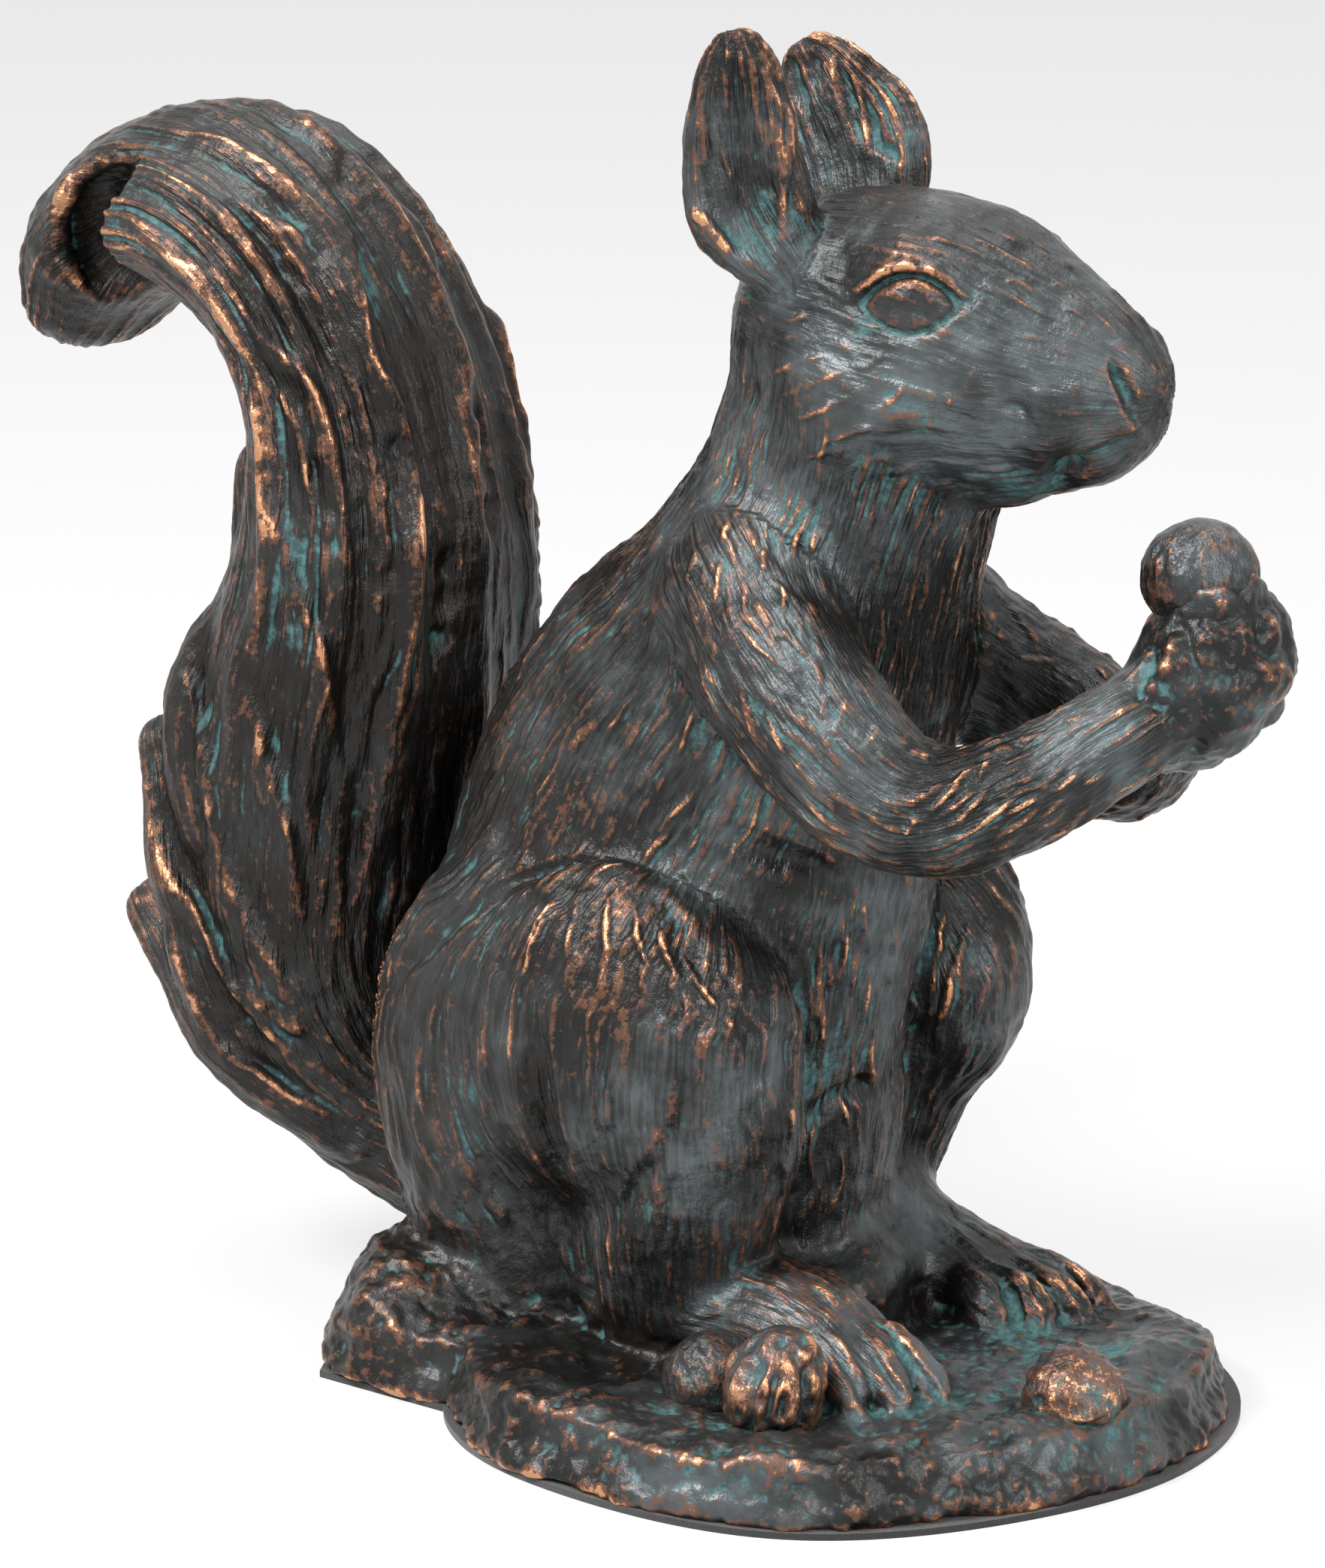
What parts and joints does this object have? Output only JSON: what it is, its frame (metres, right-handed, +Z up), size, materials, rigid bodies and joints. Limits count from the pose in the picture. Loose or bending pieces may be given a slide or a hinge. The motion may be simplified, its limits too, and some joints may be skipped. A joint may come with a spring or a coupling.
{
  "type": "squirrel figurine",
  "caption": "Cast bronze figurine of a sitting squirrel that holds a nut to its chest, tail raised and curled back, on an irregular ground slab.",
  "frame": {"origin": "on the flat underside of the felt, on the squirrel's mid-plane and below the middle of the ground slab's length", "axes": "+X is the way the squirrel looks, +Y is the squirrel's left, +Z is up"},
  "size_m": [0.2179, 0.1137, 0.1993],
  "materials": {
    "patinated_bronze": "dark brown-black patina, satin, copper rubbed through on the ridges and verdigris in the hollows",
    "felt": "dark pressed felt",
    "plain_brass": "plain turned rod",
    "fixing_steel": "zinc-plated"
  },
  "bodies": {
    "root": {"base_casting": "patinated_bronze", "base_felt": "felt", "torso": "patinated_bronze", "head": "patinated_bronze", "right_ear": "patinated_bronze", "left_ear": "patinated_bronze", "right_haunch": "patinated_bronze", "left_haunch": "patinated_bronze", "right_hind_foot": "patinated_bronze", "left_hind_foot": "patinated_bronze", "right_foreleg": "patinated_bronze", "left_foreleg": "patinated_bronze", "held_nut": "patinated_bronze", "tail_root": "patinated_bronze", "tail_plume": "patinated_bronze", "tail_bend": "patinated_bronze", "tail_curl": "patinated_bronze", "front_nut": "patinated_bronze", "rear_nut": "patinated_bronze", "far_nut": "patinated_bronze", "neck_dowel": "plain_brass", "right_shoulder_dowel": "plain_brass", "left_shoulder_dowel": "plain_brass", "right_hip_dowel": "plain_brass", "left_hip_dowel": "plain_brass", "tail_root_dowel": "plain_brass", "tail_plume_dowel": "plain_brass", "tail_bend_dowel": "plain_brass", "tail_curl_dowel": "plain_brass", "front_stud": "fixing_steel", "rear_stud": "fixing_steel", "front_washer": "fixing_steel", "rear_washer": "fixing_steel", "front_hex_nut": "fixing_steel", "rear_hex_nut": "fixing_steel"}
  },
  "joints": []
}
